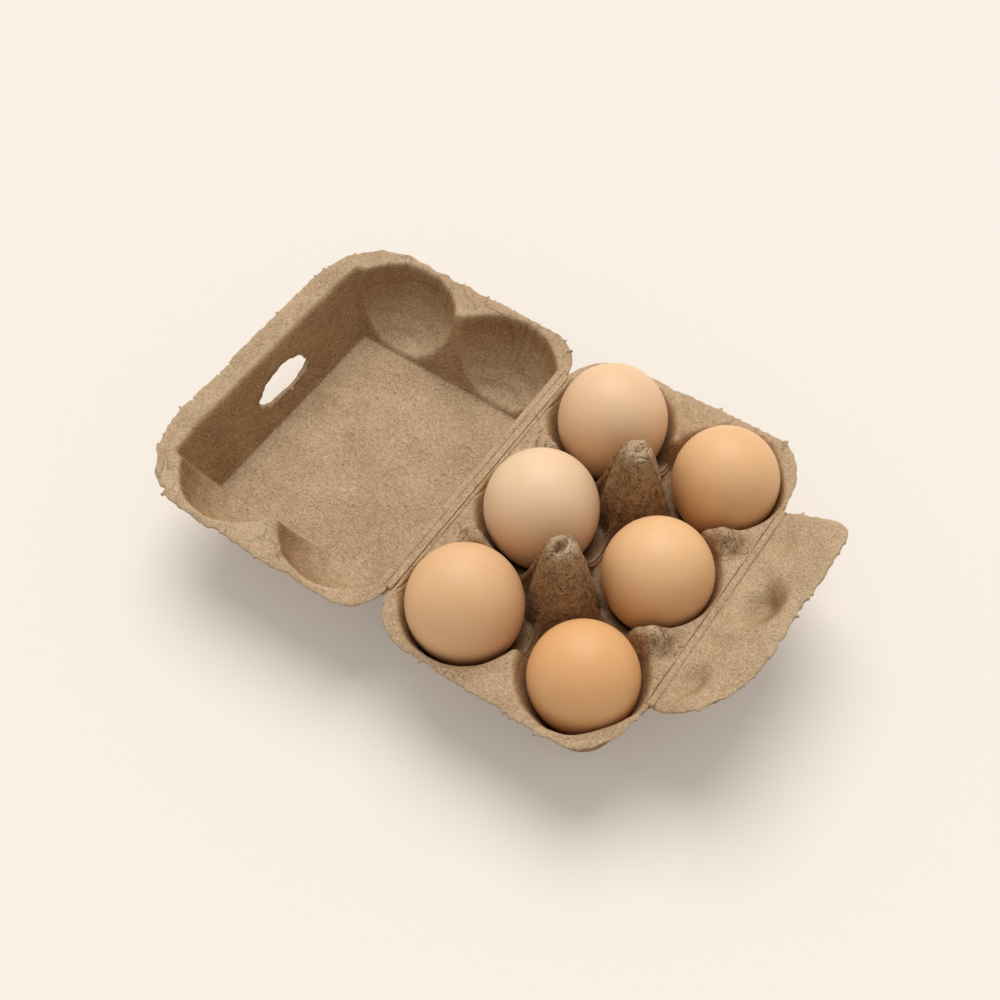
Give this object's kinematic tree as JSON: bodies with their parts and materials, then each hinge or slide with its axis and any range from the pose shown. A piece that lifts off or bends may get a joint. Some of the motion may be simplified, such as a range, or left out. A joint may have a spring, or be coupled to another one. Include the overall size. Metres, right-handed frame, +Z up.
{
  "type": "egg carton with eggs",
  "caption": "Open moulded-pulp egg carton with a hinged lid, a closing flap and brown hen's eggs standing in its cups.",
  "frame": {"origin": "middle of the open carton's footprint, on the table", "axes": "+X across the carton from the lid to the flap, +Y along the creases, +Z up"},
  "size_m": [0.2374, 0.1484, 0.0654],
  "materials": {
    "pulp": "rough moulded paper pulp",
    "eggshell": "satin brown eggshell"
  },
  "bodies": {
    "tray": {"base": "pulp", "egg_1": "eggshell", "egg_2": "eggshell", "egg_3": "eggshell", "egg_4": "eggshell", "egg_5": "eggshell", "egg_6": "eggshell"},
    "lid": {"lid": "pulp"},
    "flap": {"flap": "pulp"}
  },
  "joints": [
    {"name": "lid_hinge", "type": "hinge", "parent": "tray", "child": "lid", "pos_m": [-0.00736, 0, 0.0381], "axis": [0, 1, 0], "range_deg": [-7.5, 176.5]},
    {"name": "flap_hinge", "type": "hinge", "parent": "tray", "child": "flap", "pos_m": [0.09204, 0, 0.03795], "axis": [0, -1, 0], "range_deg": [-4.5, 96]}
  ],
  "couplings": [
    {"joint": "flap_hinge", "follows": "lid_hinge", "ratio": 0.5424}
  ]
}
